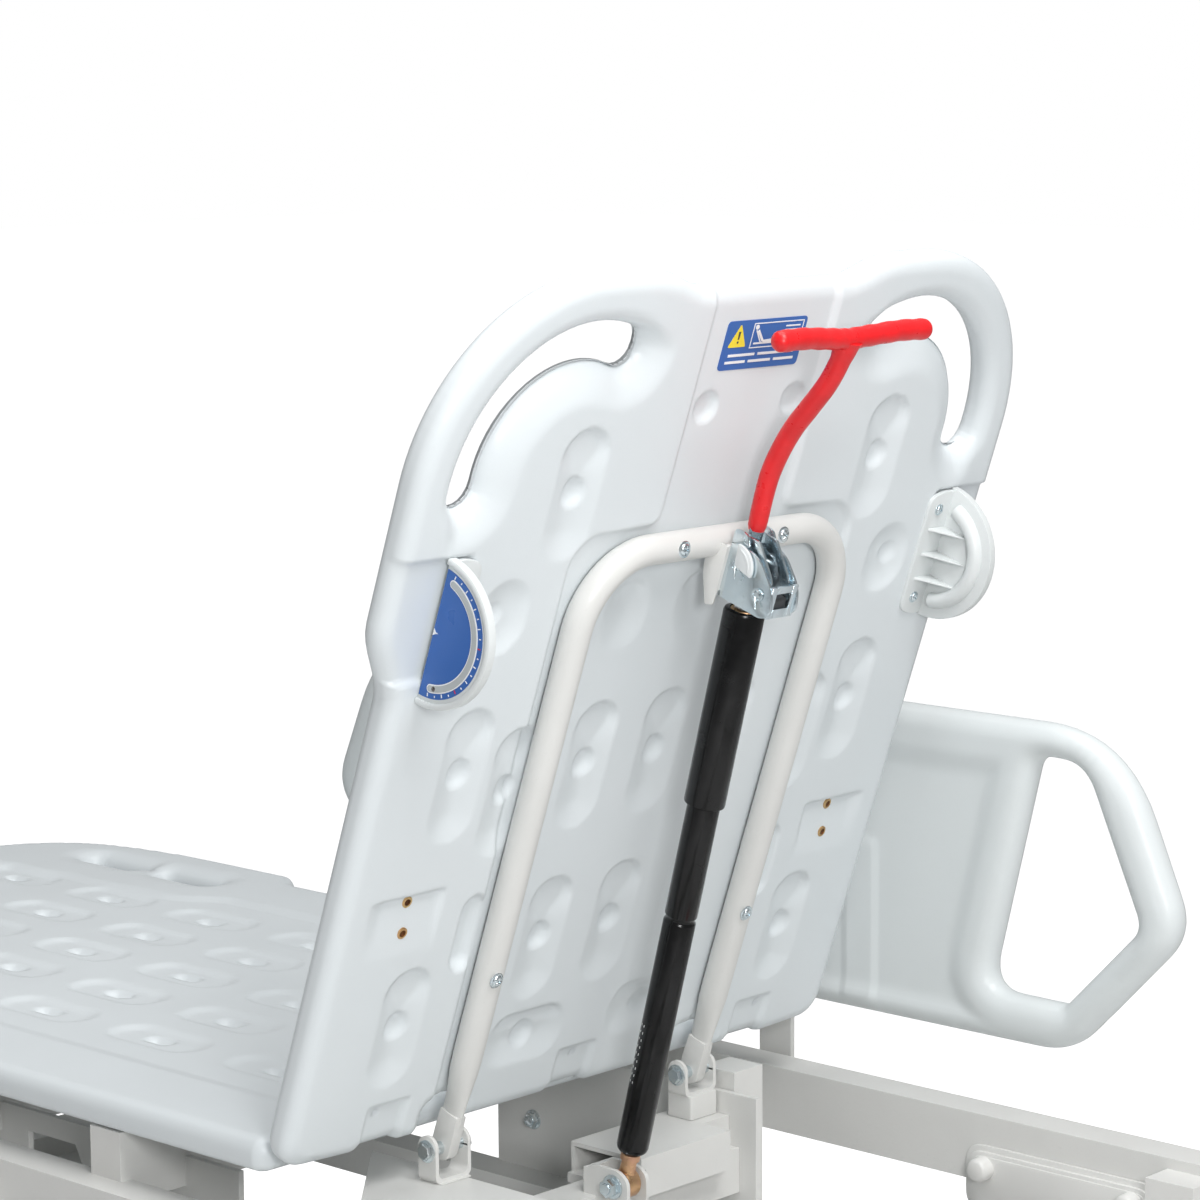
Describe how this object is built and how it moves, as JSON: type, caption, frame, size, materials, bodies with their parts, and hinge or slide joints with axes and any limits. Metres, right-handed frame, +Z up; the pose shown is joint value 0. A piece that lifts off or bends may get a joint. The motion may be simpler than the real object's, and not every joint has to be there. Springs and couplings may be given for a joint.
{
  "type": "stretcher trolley",
  "caption": "Patient transfer stretcher on swivel castors with two lift columns, a gas-spring backrest shown raised, moulded boards and folding moulded side rails.",
  "frame": {"origin": "on the floor, under the middle of the trolley's length and width", "axes": "+X towards the head end, +Y towards the side whose rail is raised at rest, +Z up"},
  "size_m": [2.06, 0.88, 1.4603],
  "materials": {
    "board": "satin moulded polyethylene, pale grey-blue white",
    "paint": "warm off-white powder coat",
    "zinc": "blue-white zinc plate",
    "yellow_zinc": "yellow zinc plate",
    "black_enamel": "satin black enamel",
    "red_dip": "red dipped vinyl",
    "tyre": "grey rubber",
    "bumper": "grey rubber",
    "cover": "fine-textured moulded cover",
    "gauge": "white moulded gauge body with a blue dial",
    "dark_plastic": "dark moulded plastic",
    "steel": "ground steel"
  },
  "bodies": {
    "base": {"base_frame": "paint", "base_cover": "cover", "column_lower_foot": "cover", "column_lower_head": "cover"},
    "deck": {"deck_frame": "paint", "leg_board": "board", "spring_cross_member": "paint", "spring_bolt": "zinc", "column_upper_foot": "steel", "column_upper_head": "steel", "hinge_bracket_near": "paint", "hinge_bracket_far": "paint", "hinge_pin_near": "zinc", "hinge_pin_far": "zinc", "accessory_plate_near": "paint", "accessory_plate_far": "paint", "rail_hinge_near_foot": "paint", "rail_hinge_near_head": "paint", "rail_hinge_far_foot": "paint", "rail_hinge_far_head": "paint", "bumper_foot_near": "bumper", "bumper_head_near": "bumper", "bumper_foot_far": "bumper", "bumper_head_far": "bumper"},
    "backrest": {"backrest_board": "board", "backrest_frame": "paint", "bracket_arm": "paint", "spring_bracket": "zinc", "angle_gauge_near": "gauge", "angle_gauge_far": "gauge"},
    "release_lever": {"release_lever": "zinc", "release_grip": "red_dip"},
    "spring_body": {"spring_eye": "yellow_zinc", "spring_cylinder": "black_enamel"},
    "spring_piston": {"spring_sleeve": "black_enamel", "spring_rod": "steel"},
    "gauge_ball_near": {"gauge_ball_near": "steel"},
    "side_rail_near": {"side_rail_near": "board", "rail_arm_near_foot": "paint", "rail_arm_near_head": "paint"},
    "gauge_ball_far": {"gauge_ball_far": "steel"},
    "side_rail_far": {"side_rail_far": "board", "rail_arm_far_foot": "paint", "rail_arm_far_head": "paint"},
    "pump_pedal_near": {"pump_pedal_near": "dark_plastic"},
    "pump_pedal_far": {"pump_pedal_far": "dark_plastic"},
    "brake_pedal_foot": {"brake_pedal_foot": "red_dip"},
    "brake_pedal_head": {"brake_pedal_head": "red_dip"},
    "castor_foot_near": {"castor_fork_foot_near": "paint"},
    "wheel_foot_near": {"castor_tyre_foot_near": "tyre", "castor_hub_foot_near": "cover"},
    "castor_foot_far": {"castor_fork_foot_far": "paint"},
    "wheel_foot_far": {"castor_tyre_foot_far": "tyre", "castor_hub_foot_far": "cover"},
    "castor_head_near": {"castor_fork_head_near": "paint"},
    "wheel_head_near": {"castor_tyre_head_near": "tyre", "castor_hub_head_near": "cover"},
    "castor_head_far": {"castor_fork_head_far": "paint"},
    "wheel_head_far": {"castor_tyre_head_far": "tyre", "castor_hub_head_far": "cover"}
  },
  "joints": [
    {"name": "lift", "type": "slide", "parent": "base", "child": "deck", "axis": [0, 0, 1], "range_m": [-0.1, 0.1]},
    {"name": "backrest_hinge", "type": "hinge", "parent": "deck", "child": "backrest", "pos_m": [0.19, 0, 0.7], "axis": [0, -1, 0], "range_deg": [-71, 4]},
    {"name": "release_pull", "type": "hinge", "parent": "backrest", "child": "release_lever", "pos_m": [0.42023, 0, 1.18127], "axis": [0, 1, 0], "range_deg": [0, 10], "stiffness_Nm_per_rad": 18, "springref_deg": -6.88},
    {"name": "spring_swing", "type": "hinge", "parent": "deck", "child": "spring_body", "pos_m": [0.252, 0, 0.643], "axis": [0, -1, 0], "range_deg": [-73, 5]},
    {"name": "spring_stroke", "type": "slide", "parent": "spring_body", "child": "spring_piston", "axis": [0.257, 0, 0.9664], "range_m": [-0.099, 0.007]},
    {"name": "ball_near", "type": "hinge", "parent": "backrest", "child": "gauge_ball_near", "pos_m": [0.3503, -0.3145, 1.17784], "axis": [0, -1, 0], "range_deg": [-4, 71]},
    {"name": "rail_near", "type": "hinge", "parent": "deck", "child": "side_rail_near", "pos_m": [0.19, -0.4, 0.632], "axis": [-1, 0, 0], "range_deg": [0, 180]},
    {"name": "ball_far", "type": "hinge", "parent": "backrest", "child": "gauge_ball_far", "pos_m": [0.3503, 0.3145, 1.17784], "axis": [0, -1, 0], "range_deg": [-4, 71]},
    {"name": "rail_far", "type": "hinge", "parent": "deck", "child": "side_rail_far", "pos_m": [0.19, 0.4, 0.632], "axis": [-1, 0, 0], "range_deg": [0, 180]},
    {"name": "pump_near", "type": "hinge", "parent": "base", "child": "pump_pedal_near", "pos_m": [-0.1, -0.24, 0.19], "axis": [1, 0, 0], "range_deg": [0, 14], "stiffness_Nm_per_rad": 60, "springref_deg": -8.59},
    {"name": "pump_far", "type": "hinge", "parent": "base", "child": "pump_pedal_far", "pos_m": [-0.1, 0.24, 0.19], "axis": [-1, 0, 0], "range_deg": [0, 14], "stiffness_Nm_per_rad": 60, "springref_deg": -8.59},
    {"name": "brake_foot", "type": "hinge", "parent": "base", "child": "brake_pedal_foot", "pos_m": [-0.737, 0, 0.19], "axis": [0, -1, 0], "range_deg": [-15, 15]},
    {"name": "brake_head", "type": "hinge", "parent": "base", "child": "brake_pedal_head", "pos_m": [0.737, 0, 0.19], "axis": [0, 1, 0], "range_deg": [-15, 15]},
    {"name": "swivel_foot_near", "type": "hinge", "parent": "base", "child": "castor_foot_near", "pos_m": [-0.68, -0.27, 0.155], "axis": [0, 0, 1], "continuous": true},
    {"name": "wheel_foot_near", "type": "hinge", "parent": "castor_foot_near", "child": "wheel_foot_near", "pos_m": [-0.715, -0.27, 0.075], "axis": [0, 1, 0], "continuous": true},
    {"name": "swivel_foot_far", "type": "hinge", "parent": "base", "child": "castor_foot_far", "pos_m": [-0.68, 0.27, 0.155], "axis": [0, 0, 1], "continuous": true},
    {"name": "wheel_foot_far", "type": "hinge", "parent": "castor_foot_far", "child": "wheel_foot_far", "pos_m": [-0.715, 0.27, 0.075], "axis": [0, 1, 0], "continuous": true},
    {"name": "swivel_head_near", "type": "hinge", "parent": "base", "child": "castor_head_near", "pos_m": [0.68, -0.27, 0.155], "axis": [0, 0, 1], "continuous": true},
    {"name": "wheel_head_near", "type": "hinge", "parent": "castor_head_near", "child": "wheel_head_near", "pos_m": [0.645, -0.27, 0.075], "axis": [0, 1, 0], "continuous": true},
    {"name": "swivel_head_far", "type": "hinge", "parent": "base", "child": "castor_head_far", "pos_m": [0.68, 0.27, 0.155], "axis": [0, 0, 1], "continuous": true},
    {"name": "wheel_head_far", "type": "hinge", "parent": "castor_head_far", "child": "wheel_head_far", "pos_m": [0.645, 0.27, 0.075], "axis": [0, 1, 0], "continuous": true}
  ],
  "couplings": [
    {"joint": "spring_swing", "follows": "backrest_hinge", "ratio": 1.022},
    {"joint": "spring_stroke", "follows": "backrest_hinge", "m_per_rad": 0.078058},
    {"joint": "ball_near", "follows": "backrest_hinge", "ratio": -1},
    {"joint": "ball_far", "follows": "backrest_hinge", "ratio": -1},
    {"joint": "brake_head", "follows": "brake_foot", "ratio": -1}
  ]
}
